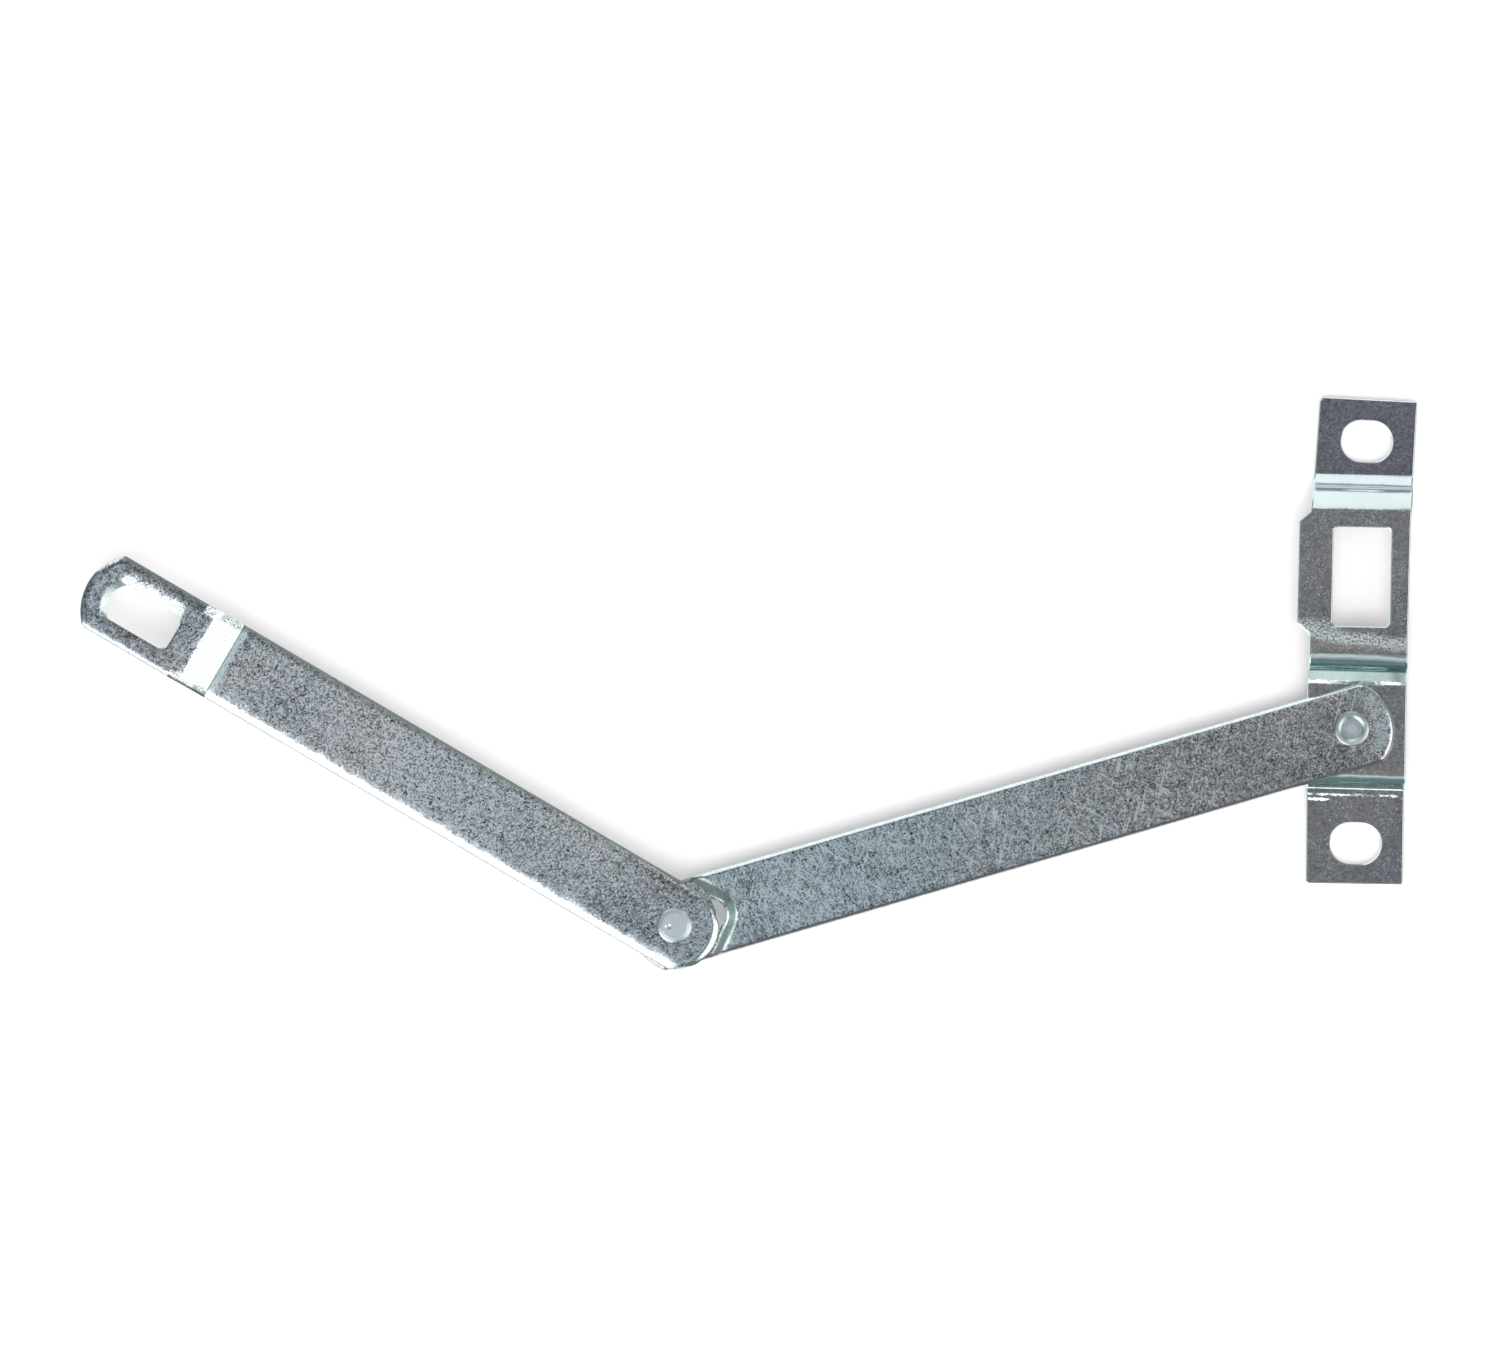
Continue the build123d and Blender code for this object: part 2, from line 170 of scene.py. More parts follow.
def zinc(name, tone, tint, turn=0.0, origin=(0, 0), grain_size=0.00050, contrast=1.0, facet=0.16,
         extra=None, rough=0.30, strokes_amount=0.3, border=(0.9955, 0.9988, 0.004), tilt_highlight=0.0, edge_grain=0.05):
    """Bright zinc on cold-rolled steel: crystalline grain on the flats, burnished on bends and rolled edges."""
    m = bpy.data.materials.new(name)
    m.use_nodes = True
    t = Tree(m.node_tree)
    where = t.node("ShaderNodeTexCoord").outputs["Object"]
    normal = t.node("ShaderNodeNewGeometry").outputs["Normal"]
    nz = t.math("ABSOLUTE", t.parts(normal)[2])
    ragged = t.noise(where, 1400.0, 2.0, 0.6)
    rag = t.math("SUBTRACT", ragged, 0.5)
    flat = t.ramp(plus(t, nz, times(t, rag, border[2])), border[0], border[1])

    along = t.mapping(where, turn=turn, shift=(*origin, 0))   # x runs along the strip
    # crystals of the plate: a slightly warped cell pattern, finer grains on it, and flecks that catch the light
    warp = t.node("ShaderNodeTexNoise", noise_dimensions="3D")
    t.put(warp.inputs["Vector"], where)
    warp.inputs["Scale"].default_value = 0.9 / grain_size
    warp.inputs["Detail"].default_value = 1.0
    warped = t.vec("ADD", where, t.vec("SCALE", t.vec("SUBTRACT", warp.outputs["Color"], (0.5, 0.5, 0.5)), grain_size * 1.5))
    cell_colour, cell_distance = t.cells(warped, 1.0 / grain_size)
    cx, cy, cz = t.parts(cell_colour)[:3]
    fine = t.noise(where, 1.5 / grain_size, 2.0, 0.7)
    coarse = t.noise(where, 0.26 / grain_size, 2.0, 0.6)
    fleck = t.ramp(cy, 0.80, 0.97)
    # mottling of the plate over centimetres
    mottle = t.noise(where, 62.0, 3.0, 0.55, 0.4)
    mottle2 = t.noise(t.vec("ADD", where, (0.31, 0.17, 0.05)), 24.0, 2.0, 0.5, 0.2)
    # rolling marks and handling strokes
    rolled = t.noise(t.mapping(along, scale=(6.0, 0.9, 1.0)), 1500.0, 2.0, 0.6)
    strokes_a = t.noise(t.mapping(along, turn=math.radians(62), scale=(7.0, 0.8, 1.0)), 900.0, 1.5, 0.55)
    strokes_b = t.noise(t.mapping(along, turn=math.radians(-48), scale=(9.0, 0.7, 1.0)), 620.0, 1.5, 0.55)
    strokes = t.math("MAXIMUM", t.ramp(strokes_a, 0.61, 0.72), t.ramp(strokes_b, 0.63, 0.73))

    grain = plus(t,
                 times(t, t.math("SUBTRACT", fine, 0.5), 4.2),
                 times(t, t.math("SUBTRACT", cx, 0.5), 1.05),
                 times(t, t.math("SUBTRACT", coarse, 0.5), 0.8),
                 times(t, t.math("SUBTRACT", rolled, 0.5), 0.3),
                 times(t, fleck, 0.95),
                 times(t, strokes, strokes_amount),
                 -0.08)
    grain = times(t, grain, contrast)
    broad = plus(t, times(t, t.math("SUBTRACT", mottle, 0.5), 0.42), times(t, t.math("SUBTRACT", mottle2, 0.5), 0.30))
    cool, warm = tint
    hue = t.ramp(plus(t, mottle2, times(t, t.math("SUBTRACT", cz, 0.5), 0.25)), 0.38, 0.62)
    look = {
        "flat": flat,
        # painted highlight: the grain's level is raised on faces that tilt away from flat, towards the bends and rolls
        "level": times(t, tone, plus(t, 1.0, grain, broad), plus(t, 1.0, times(t, t.ramp(nz, 0.985, 0.86), tilt_highlight))),
        "colour": t.mix(hue, cool, warm),
        "rough": plus(t, rough, times(t, t.math("SUBTRACT", coarse, 0.5), 0.16)),
        "facets": facet,
        "smooth_level": plus(t, 0.99, times(t, t.math("SUBTRACT", mottle, 0.5), 0.12), times(t, grain, edge_grain)),
        "smooth_colour": (0.80, 0.87, 0.88),
        "smooth_rough": 0.15,
        "push": (0.0, 0.0, 0.0),
    }
    if extra:
        extra(t, where, along, normal, look)
    flat = look["flat"]
    level = t.math("MAXIMUM", t.math("MINIMUM", look["level"], 1.0), 0.03)

    def shade(value, paint):
        grey = t.node("ShaderNodeCombineColor")
        for s in grey.inputs:
            t.put(s, value)
        return t.mix(1.0, paint, grey.outputs[0], "MULTIPLY")

    colour = t.mix(flat, shade(look["smooth_level"], look["smooth_colour"]), shade(level, look["colour"]))
    rough_value = blend_to(t, flat, look["smooth_rough"], look["rough"])

    # each crystal leans a little its own way
    lean = t.vec("SCALE", t.vec("SUBTRACT", cell_colour, (0.5, 0.5, 0.5)), times(t, flat, look["facets"]))
    leaned = t.vec("NORMALIZE", t.vec("ADD", t.vec("ADD", normal, lean), look["push"]))
    bump = t.node("ShaderNodeBump")
    bump.inputs["Strength"].default_value = 0.35
    bump.inputs["Distance"].default_value = 0.00006
    height = plus(t, mottle, times(t, coarse, 0.5), times(t, strokes, flat, 0.5))
    t.put(bump.inputs["Height"], height)
    t.put(bump.inputs["Normal"], leaned)

    b = t.node("ShaderNodeBsdfPrincipled")
    t.put(b.inputs["Base Color"], colour)
    b.inputs["Metallic"].default_value = 1.0
    t.put(b.inputs["Roughness"], t.math("MAXIMUM", rough_value, 0.07))
    t.put(b.inputs["Normal"], bump.outputs[0])
    out = t.node("ShaderNodeOutputMaterial")
    t.put(out.inputs["Surface"], b.outputs[0])
    return m


def end_ring(t, where, x, centre, look, start, stop):
    """A faint bluish, lighter arc beyond a rivet, on the side from start to stop along the strip."""
    q = from_axis(t, where, centre)
    ring = times(t, t.ramp(q, 0.0072, 0.0090), t.ramp(q, 0.0100, 0.0122, 1.0, 0.0), t.ramp(x, start, stop))
    look["colour"] = t.mix(times(t, ring, 0.6), look["colour"], (0.76, 0.90, 1.0))
    look["level"] = plus(t, look["level"], times(t, ring, 0.12))


def arm_details(t, where, along, normal, look):
    """The pad at the elbow is pressed smooth, its pinkish lighter tone a painted reflection; painted shade on the slope
    round it and a painted light ring beyond its foot; painted light and shade along the arm and on its lower side;
    combed strokes and scratches.
    """
    x, y = t.parts(along)[:2]
    # pad: its nose is round about a point 11.83 mm from the elbow, its flanks run back at 39.6 degrees
    fx = t.math("SUBTRACT", ARM_LENGTH - 0.01183, x)           # beyond the nose centre, towards the pivot
    fy = t.math("ABSOLUTE", y)
    turn = math.radians(39.6)
    nose_r = t.vec("LENGTH", t.node_xyz(fx, fy, 0.0))
    flank = plus(t, times(t, fx, math.sin(turn)), times(t, fy, math.cos(turn)))
    # the straight flank takes over from the round nose beside it
    beside = t.ramp_lin(t.math("SUBTRACT", times(t, fy, math.sin(turn)), times(t, fx, math.cos(turn))), -0.00001, 0.00001)
    outside = t.math("SUBTRACT", blend_to(t, beside, nose_r, flank), 0.00537)
    pad = t.ramp(outside, -0.0012, -0.0008, 1.0, 0.0)
    away = invert(t, pad)
    # the pad is pressed smooth: fewer facets and its own roughness; its pinkish, lighter tone is a painted reflection
    cloud = t.noise(where, 240.0, 3.0, 0.55)
    pad_level = plus(t, 0.93, times(t, t.math("SUBTRACT", cloud, 0.5), 0.35))
    look["colour"] = t.mix(pad, look["colour"], (0.98, 0.90, 0.88))
    look["facets"] = times(t, look["facets"], t.math("SUBTRACT", 1.0, times(t, pad, 0.85)))
    look["rough"] = blend_to(t, pad, look["rough"], 0.34)
    # painted shade on the slope of the step, deepest on its negative-y flank, with a greenish tint
    slope = times(t, t.ramp(outside, -0.0003, 0.0004), t.ramp(outside, 0.0026, 0.0036, 1.0, 0.0))
    shade = plus(t, t.ramp(y, -0.0035, -0.0010, 0.66, 0.05), t.ramp(y, 0.0020, 0.0050, 0.0, 0.35))
    look["smooth_level"] = times(t, look["smooth_level"], invert(t, times(t, slope, shade)))
    look["smooth_colour"] = t.mix(slope, look["smooth_colour"], (0.70, 0.86, 0.81))
    # painted highlight: a soft lighter ring beyond the foot of the step
    foot = times(t, t.ramp(outside, 0.0030, 0.0036), t.ramp(outside, 0.0040, 0.0075, 1.0, 0.0))
    # strokes combed across the arm, strongest near the elbow
    combed = t.noise(t.mapping(along, turn=math.radians(8), scale=(0.75, 5.0, 1.0)), 1300.0, 2.0, 0.6)
    near = t.ramp(x, 0.040, 0.190, 0.15, 1.0)
    # painted light and shade along the arm: darker near the pivot, lighter towards the elbow, a lighter bluish band 140
    # to 185 mm out, and much lighter past the pivot
    gradient = times(t, t.ramp(x, 0.012, 0.110, 0.76, 1.03), t.ramp(x, -0.0040, -0.0080, 1.0, 1.62),
                     plus(t, 1.0, times(t, band(t, x, 0.148, 0.175, 0.020), 0.13)))
    look["colour"] = t.mix(times(t, band(t, x, 0.140, 0.185, 0.020), 0.5), look["colour"], (0.76, 0.92, 1.0))
    level = times(t, look["level"], gradient)
    level = plus(t, level, times(t, foot, 0.14), times(t, t.math("SUBTRACT", combed, 0.5), near, 1.5))
    look["level"] = blend_to(t, pad, level, pad_level)
    look["colour"] = t.mix(times(t, t.ramp(x, 0.170, 0.010), away), look["colour"], (1.0, 0.97, 0.99))
    end_ring(t, where, x, PIVOT, look, 0.002, -0.006)
    # painted shade on its rolled lower side, darker and pinkish, which is also a little rougher; the end rim beyond the
    # elbow is painted darker
    rough_and_shaded_side = times(t, t.ramp(y, 0.0098, 0.0112), away)
    look["smooth_rough"] = plus(t, 0.15, times(t, rough_and_shaded_side, 0.05), times(t, slope, 0.17))
    look["smooth_level"] = times(t, look["smooth_level"], invert(t, times(t, rough_and_shaded_side, 0.30)),
                                 invert(t, times(t, t.ramp(x, 0.2195, 0.2225), 0.42)))
    look["smooth_colour"] = t.mix(rough_and_shaded_side, look["smooth_colour"], (0.98, 0.86, 0.92))
    look["level"] = times(t, look["level"], invert(t, times(t, rough_and_shaded_side, 0.22)))
    # scratches by the pivot
    wobble = times(t, t.math("SUBTRACT", t.noise(where, 500.0, 1.0, 0.5), 0.5), 0.0012)
    marks = line_mark(t, along, (0.0032, -0.0118), (0.0014, -0.0098), 0.00026, wobble)
    marks = t.math("MAXIMUM", marks, line_mark(t, along, (-0.0024, 0.0058), (-0.0022, 0.0128), 0.00020, wobble))
    marks = t.math("MAXIMUM", marks, line_mark(t, along, (0.0140, -0.0050), (0.0152, -0.0022), 0.00018, wobble))
    marks = t.math("MAXIMUM", marks, line_mark(t, along, (0.0052, -0.0100), (0.0040, -0.0086), 0.00018, wobble))
    look["level"] = plus(t, look["level"], times(t, marks, 0.65))


def slotted_details(t, where, along, normal, look):
    """Painted shade at the foot of the fold and a painted reflection band beside it where the hook is folded up;
    scuffed, ragged borders of the rolled sides, lightened partly with painted highlight.
    """
    x, y = t.parts(along)[:2]
    flat = look["flat"]
    ragged = t.noise(where, 1900.0, 3.0, 0.75)
    rag = t.math("SUBTRACT", ragged, 0.5)
    broad = t.math("SUBTRACT", t.noise(where, 260.0, 1.0, 0.5), 0.5)
    crown = times(t, t.ramp(x, 0.0040, -0.0010), t.ramp(from_axis(t, where, ELBOW), 0.0108, 0.0114), t.ramp(y, -0.0092, -0.0062),
                  t.ramp(y, 0.0095, 0.0070))
    end_ring(t, where, x, ELBOW, look, 0.003, -0.005)
    # painted reflection: a lighter, bluish band on the flat just before the fold
    fold_reflection_band = times(t, t.ramp(x, 0.1571, 0.1600), t.ramp(x, 0.16010, 0.16020, 1.0, 0.0))
    look["colour"] = t.mix(times(t, fold_reflection_band, 0.85), look["colour"], (0.80, 0.97, 1.0))
    # painted light and shade along the arm: darker near the elbow, a lighter band 70 to 92 mm out, a little darker past
    # 110 mm; the tilted part of the upper side is painted darker and warmer
    gradient = times(t, t.ramp(x, 0.012, 0.048, 0.78, 1.0), plus(t, 1.0, times(t, band(t, x, 0.070, 0.092, 0.016), 0.14)),
                     t.ramp(x, 0.098, 0.118, 1.0, 0.91))
    upper_side = times(t, t.ramp(y, -0.0096, -0.0106), t.ramp(t.parts(normal)[2], 0.985, 0.80))
    gradient = times(t, gradient, invert(t, times(t, upper_side, 0.13)))
    look["colour"] = t.mix(upper_side, look["colour"], (1.0, 0.98, 0.96))
    look["level"] = plus(t, times(t, look["level"], gradient), times(t, fold_reflection_band, 0.62))
    look["facets"] = times(t, look["facets"], invert(t, times(t, fold_reflection_band, 0.7)))
    # painted shade: a dark line along the inner corner where the fold starts
    crease_shade = invert(t, times(t, band(t, x, 0.15995, 0.16018, 0.00010), 0.75))
    look["level"] = times(t, look["level"], crease_shade)
    look["smooth_level"] = times(t, look["smooth_level"], crease_shade)
    # the upper edge is darker beside the elbow
    dark_end = times(t, t.ramp(x, 0.0200, 0.0080), t.ramp(x, -0.0075, -0.0045), t.ramp(y, -0.0086, -0.0100), 0.32)
    look["level"] = times(t, look["level"], invert(t, dark_end))
    look["smooth_level"] = times(t, look["smooth_level"], invert(t, dark_end))
    # the fold itself is burnished; grain creeps on to its outer end and its sides
    on_fold = band(t, x, 0.1602, 0.1725, 0.0002)
    smooth_fold = times(t, band(t, x, 0.16015, 0.1690, 0.0003), 1.0)
    look["flat"] = times(t, flat, invert(t, smooth_fold), invert(t, crown))
    end = t.ramp(plus(t, x, times(t, rag, 0.006)), 0.1690, 0.1702)
    low_side = t.ramp(plus(t, y, times(t, rag, 0.004)), 0.0100, 0.0110)
    high_side = t.ramp(plus(t, y, times(t, rag, 0.004)), -0.0098, -0.0108)
    corners = t.math("MAXIMUM", times(t, low_side, band(t, x, 0.1603, 0.1636, 0.0012)),
                     times(t, high_side, band(t, x, 0.1603, 0.1668, 0.0010)))
    spots = times(t, on_fold, t.math("MAXIMUM", end, corners), t.ramp(ragged, 0.38, 0.58, 0.0, 0.74))
    look["smooth_level"] = times(t, look["smooth_level"], invert(t, spots))
    fold_side = times(t, on_fold, t.math("MAXIMUM", t.ramp(y, 0.0096, 0.0104), t.ramp(y, -0.0096, -0.0104)))
    # painted highlight: the flat brightens towards its rolled lower side
    look["level"] = plus(t, look["level"], times(t, t.ramp(plus(t, y, times(t, broad, 0.004)), 0.0072, 0.0105),
                                                 t.ramp(x, 0.168, 0.176, 0.20, 0.02)))
    # scuffed burr along the inner side of the slot, and the ragged start of the roll; their lightness is partly wear
    # and partly painted highlight
    burr_y = plus(t, y, times(t, rag, 0.0080), times(t, broad, 0.0044))
    burr = times(t, band(t, burr_y, -0.0081, -0.0053, 0.0010), band(t, x, 0.1790, 0.1985, 0.0024))
    edge_y = plus(t, y, times(t, rag, 0.0085), times(t, broad, 0.0036))
    on_bar = t.ramp(x, 0.1600, 0.1602, 1.0, 0.0)
    edge = times(t, t.ramp(edge_y, 0.0086, 0.0110, smooth=False), on_bar, flat, t.ramp(x, -0.0085, -0.0045))
    hook_edge = times(t, t.ramp(edge_y, 0.0112, 0.0120), t.ramp(x, 0.1700, 0.1720), t.ramp(x, 0.2020, 0.2050, 1.0, 0.0))
    scuff_and_highlight = times(t, t.math("MAXIMUM", t.math("MAXIMUM", burr, edge), hook_edge), 0.9)
    look["level"] = plus(t, look["level"], times(t, scuff_and_highlight, 0.5))
    # the hook's own roll is tighter than the bar's: its first part still lies flat
    hook_low = times(t, t.ramp(x, 0.1700, 0.1720), t.ramp(x, 0.2030, 0.2060, 1.0, 0.0), t.ramp(y, 0.0094, 0.0100),
                     t.ramp(y, 0.0112, 0.0121, 1.0, 0.0))
    hook_end = times(t, t.ramp(x, 0.2040, 0.2052), t.ramp(y, -0.0052, -0.0030))
    far_wall = times(t, t.ramp(x, 0.1965, 0.1975), t.ramp(x, 0.2022, 0.2030, 1.0, 0.0), band(t, y, -0.0062, 0.0075, 0.0004),
                     invert(t, look["flat"]))
    look["smooth_rough"] = plus(t, 0.15, times(t, far_wall, 0.25))
    # painted shade: the lower silhouette and the fold's lower edge show as a faint darker, pinkish line
    steep = times(t, t.ramp(y, 0.0110, 0.0114), t.ramp(t.parts(normal)[2], 0.66, 0.40))
    fold_line = times(t, on_fold, t.ramp(y, 0.0117, 0.0121), 0.6)
    rim_shade = times(t, band(t, plus(t, y, times(t, rag, 0.003)), 0.0072, 0.0094, 0.0007), band(t, x, 0.1800, 0.2020, 0.0025))
    top_shade = times(t, t.ramp(plus(t, y, times(t, rag, 0.003)), -0.0082, -0.0100), t.ramp(x, 0.1700, 0.1740))
    look["level"] = times(t, look["level"], invert(t, times(t, rim_shade, 0.26)), invert(t, times(t, top_shade, 0.26)))
    look["flat"] = times(t, look["flat"], invert(t, steep))
    look["smooth_level"] = times(t, look["smooth_level"], invert(t, times(t, t.math("MAXIMUM", times(t, steep, 0.60), fold_line), 1.0)))
    look["smooth_colour"] = t.mix(t.math("MAXIMUM", steep, fold_line), look["smooth_colour"], (1.0, 0.96, 0.94))
    # the rim of the slot is bright below
    rim = times(t, band(t, x, 0.1765, 0.2030, 0.0004), band(t, y, 0.0057, 0.0079, 0.0003), invert(t, look["flat"]))
    look["push"] = t.vec("ADD", t.vec("SCALE", to_world(t, (-0.565, -0.825, 0.0)), plus(t, times(t, scuff_and_highlight, 0.42), times(t, rim, 1.1))),
                         t.vec("ADD", t.vec("SCALE", to_world(t, (0.502, -0.278, 0.819)), times(t, fold_side, 6.0)),
                               t.vec("SCALE", (0.0, 0.0, 1.0), plus(t, times(t, t.math("MAXIMUM", hook_low, hook_end), 1.6), times(t, crown, 0.75), times(t, far_wall, 0.9)))))


def bracket_details(t, where, along, normal, look):
    """Press marks: bright scuffed lines at the feet of the ramps and a scuffed arc below the window."""
    x, y, z = t.parts(where)[:3]
    top = t.ramp(t.parts(normal)[2], 0.2, 0.4)
    speck = t.noise(where, 1500.0, 2.0, 0.65)
    slow = t.noise(where, 180.0, 2.0, 0.5)
    yy = plus(t, y, times(t, t.math("SUBTRACT", speck, 0.5), 0.0016))
    wide = times(t, t.ramp(x, -0.0172, -0.0160), t.ramp(x, 0.0120, 0.0132, 1.0, 0.0))
    foot = times(t, band(t, yy, -0.01265, -0.01200, 0.0003), wide, t.ramp(slow, 0.36, 0.50, 0.30, 1.0))
    low_a = times(t, band(t, yy, -0.04715, -0.04675, 0.0002), wide, t.ramp(slow, 0.34, 0.52, 0.0, 0.85), t.ramp(speck, 0.38, 0.52, 0.4, 1.0))
    low_b = times(t, band(t, yy, -0.04880, -0.04825, 0.0002), t.ramp(x, -0.0155, -0.0145), t.ramp(x, -0.0095, -0.0075, 1.0, 0.0))
    bend_line = times(t, band(t, y, -0.04515, -0.04495, 0.00015), t.ramp(slow, 0.30, 0.62, 0.35, 0.62))
    marks = times(t, t.math("MAXIMUM", t.math("MAXIMUM", foot, low_a), t.math("MAXIMUM", low_b, bend_line)), top)
    # scuffed arc: height of its middle along x
    bow = t.math("ADD", x, 0.001)
    arc_mid = plus(t, 0.0010, times(t, bow, bow, 9.0), times(t, t.ramp(x, 0.0, 0.014), -0.0030))
    off = t.math("ABSOLUTE", t.math("SUBTRACT", y, arc_mid))
    arc = times(t, t.ramp(off, 0.0007, 0.0030, 1.0, 0.0), t.ramp(speck, 0.40, 0.58))
    corner = times(t, band(t, y, 0.0015, 0.0060, 0.0015), t.ramp(x, -0.0045, -0.0085), t.ramp(speck, 0.46, 0.62))
    arc = times(t, t.math("MAXIMUM", arc, corner), t.math("GREATER_THAN", z, 0.0105), top)
    nicks = times(t, t.ramp(t.noise(where, 1900.0, 2.0, 0.6), 0.585, 0.66),
                  t.ramp(t.noise(t.vec("ADD", where, (0.2, 0.1, 0.0)), 150.0, 2.0, 0.5), 0.42, 0.58),
                  t.ramp(y, 0.044, 0.052, 1.0, 0.45))
    look["colour"] = t.mix(t.math("MAXIMUM", marks, arc), look["colour"], (0.93, 1.0, 1.0))
    # painted warm reflection beside the ramps: a brownish tint, a touch lighter
    warm_reflection = t.math("MAXIMUM", band(t, y, -0.0025, -0.0005, 0.0015), band(t, y, -0.0405, -0.0390, 0.0015))
    look["colour"] = t.mix(times(t, warm_reflection, 0.6), look["colour"], (1.0, 0.91, 0.85))
    # the end tab at the +y end is a little darker and bluer
    tabs = t.math("MAXIMUM", t.ramp(y, 0.048, 0.052), 0.0)
    look["level"] = times(t, look["level"], invert(t, times(t, tabs, 0.20)))
    look["colour"] = t.mix(tabs, look["colour"], (0.87, 0.85, 1.0))
    look["level"] = plus(t, look["level"], times(t, marks, 1.3), times(t, arc, 0.9), times(t, nicks, 0.60), times(t, warm_reflection, 0.06))
    look["flat"] = t.math("MAXIMUM", look["flat"], marks)
    white = t.math("MAXIMUM", times(t, marks, 0.50), plus(t, times(t, arc, 0.17), times(t, nicks, 0.05)))
    look["push"] = t.vec("SCALE", to_world(t, (-0.643, -0.766, 0.0)), white)
    # the steep faces below the window and above the lower tab lie in shade, the bend at the ramp's foot is brightest
    shade_a = times(t, band(t, y, -0.0088, -0.0070, 0.0004), top)
    bright_a = times(t, band(t, y, -0.0116, -0.0093, 0.0002), top)
    teal = times(t, t.math("MAXIMUM", band(t, y, -0.0088, -0.0056, 0.0004), band(t, y, -0.0447, -0.0421, 0.0003)), top)
    look["smooth_level"] = times(t, look["smooth_level"], invert(t, times(t, shade_a, 0.34)))
    look["smooth_colour"] = t.mix(bright_a, t.mix(times(t, teal, 0.75), look["smooth_colour"], (0.68, 0.94, 0.92)), (0.87, 1.0, 0.98))
    # slow waves in the bends
    wave = t.noise(t.mapping(where, scale=(1.0, 6.0, 6.0)), 130.0, 1.0, 0.5)
    tilt = t.vec("SCALE", (0.0, 1.0, 0.0), times(t, t.math("SUBTRACT", wave, 0.5), invert(t, look["flat"]), 0.22))
    look["push"] = t.vec("ADD", look["push"], tilt)


def rivet_zinc(name):
    """Upset rivet heads: smooth, cool, with faint turning rings and a dull bruised middle."""
    m = bpy.data.materials.new(name)
    m.use_nodes = True
    t = Tree(m.node_tree)
    where = t.node("ShaderNodeTexCoord").outputs["Object"]
    a, b_ = from_axis(t, where, ELBOW), from_axis(t, where, PIVOT)
    r = t.math("MINIMUM", a, b_)
    at_elbow = t.math("LESS_THAN", a, 0.02)
    rings = t.math("SINE", times(t, r, 7000.0))
    cloud = t.noise(where, 700.0, 3.0, 0.6)
    fine = t.noise(where, 2600.0, 2.0, 0.6)
    middle = t.ramp(r, 0.0012, 0.0028, 1.0, 0.0)
    tone = plus(t, 0.80, times(t, at_elbow, 0.20))
    level = plus(t, tone, times(t, t.math("SUBTRACT", cloud, 0.5), 0.40), times(t, t.math("SUBTRACT", fine, 0.5), 0.22),
                 times(t, rings, 0.035))
    # the bracket rivet catches light on one side of its rim, and its middle is pale
    lit = t.vec("DOT_PRODUCT", t.vec("NORMALIZE", t.vec("SUBTRACT", where, (PIVOT[0], PIVOT[1], 0.0127))), (0.70, -0.70, 0.0))
    outer = times(t, t.ramp(r, 0.0038, 0.0046), invert(t, at_elbow))
    level = times(t, level, plus(t, 1.0, times(t, outer, lit, 0.30), times(t, t.ramp(r, 0.0012, 0.0020, 1.0, 0.0), invert(t, at_elbow), 0.28)))
    # painted shade: a dark groove inside the bracket rivet's raised rim, also bumped in
    groove = times(t, t.ramp(r, 0.0027, 0.0030), t.ramp(r, 0.0032, 0.0035, 1.0, 0.0), invert(t, at_elbow))
    level = times(t, level, invert(t, times(t, groove, 0.22)))
    colour = t.mix(times(t, middle, t.ramp(cloud, 0.42, 0.60)), (0.88, 0.96, 1.0), (0.98, 0.86, 0.88))
    grey = t.node("ShaderNodeCombineColor")
    for s in grey.inputs:
        t.put(s, t.math("MINIMUM", level, 1.0))
    colour = t.mix(1.0, colour, grey.outputs[0], "MULTIPLY")
    bump = t.node("ShaderNodeBump")
    bump.inputs["Strength"].default_value = 0.35
    bump.inputs["Distance"].default_value = 0.00005
    t.put(bump.inputs["Height"], plus(t, times(t, rings, 0.2), cloud, times(t, groove, -1.0)))
    b = t.node("ShaderNodeBsdfPrincipled")
    t.put(b.inputs["Base Color"], colour)
    b.inputs["Metallic"].default_value = 1.0
    t.put(b.inputs["Roughness"], plus(t, 0.35, times(t, t.math("SUBTRACT", cloud, 0.5), 0.2)))
    t.put(b.inputs["Normal"], bump.outputs[0])
    out = t.node("ShaderNodeOutputMaterial")
    t.put(out.inputs["Surface"], b.outputs[0])
    return m


# each piece gets its own tone; the bracket's much darker tone is partly its own plating and partly painted shade
# standing in for the dimmer light on it
materials = {
    "zinc_slotted_arm": zinc("zinc_slotted_arm_look", 0.63, ((0.87, 0.93, 1.0), (0.96, 0.98, 1.0)), turn=SLOTTED_TURN,
                             contrast=1.14, origin=ELBOW, extra=slotted_details, border=(0.52, 0.78, 0.22), tilt_highlight=0.55, edge_grain=0.30),
    "zinc_bracket_arm": zinc("zinc_bracket_arm_look", 0.57, ((0.78, 0.91, 1.0), (0.90, 0.96, 1.0)),
                             contrast=1.08, turn=ARM_TURN, origin=PIVOT, extra=arm_details, strokes_amount=0.9,
                             border=(0.90, 0.965, 0.06), tilt_highlight=0.30, edge_grain=0.20),
    "zinc_bracket": zinc("zinc_bracket_look", 0.39, ((0.93, 0.91, 1.0), (1.0, 0.95, 0.97)), turn=math.pi / 2,
                         grain_size=0.00046, contrast=0.40, facet=0.08, extra=bracket_details, strokes_amount=0.5),
    "zinc_rivet": rivet_zinc("zinc_rivet_look"),
}
for name, node in nodes.items():
    for slot in node.material_slots:
        slot.material = materials[slot.material.name.split(".")[0]]


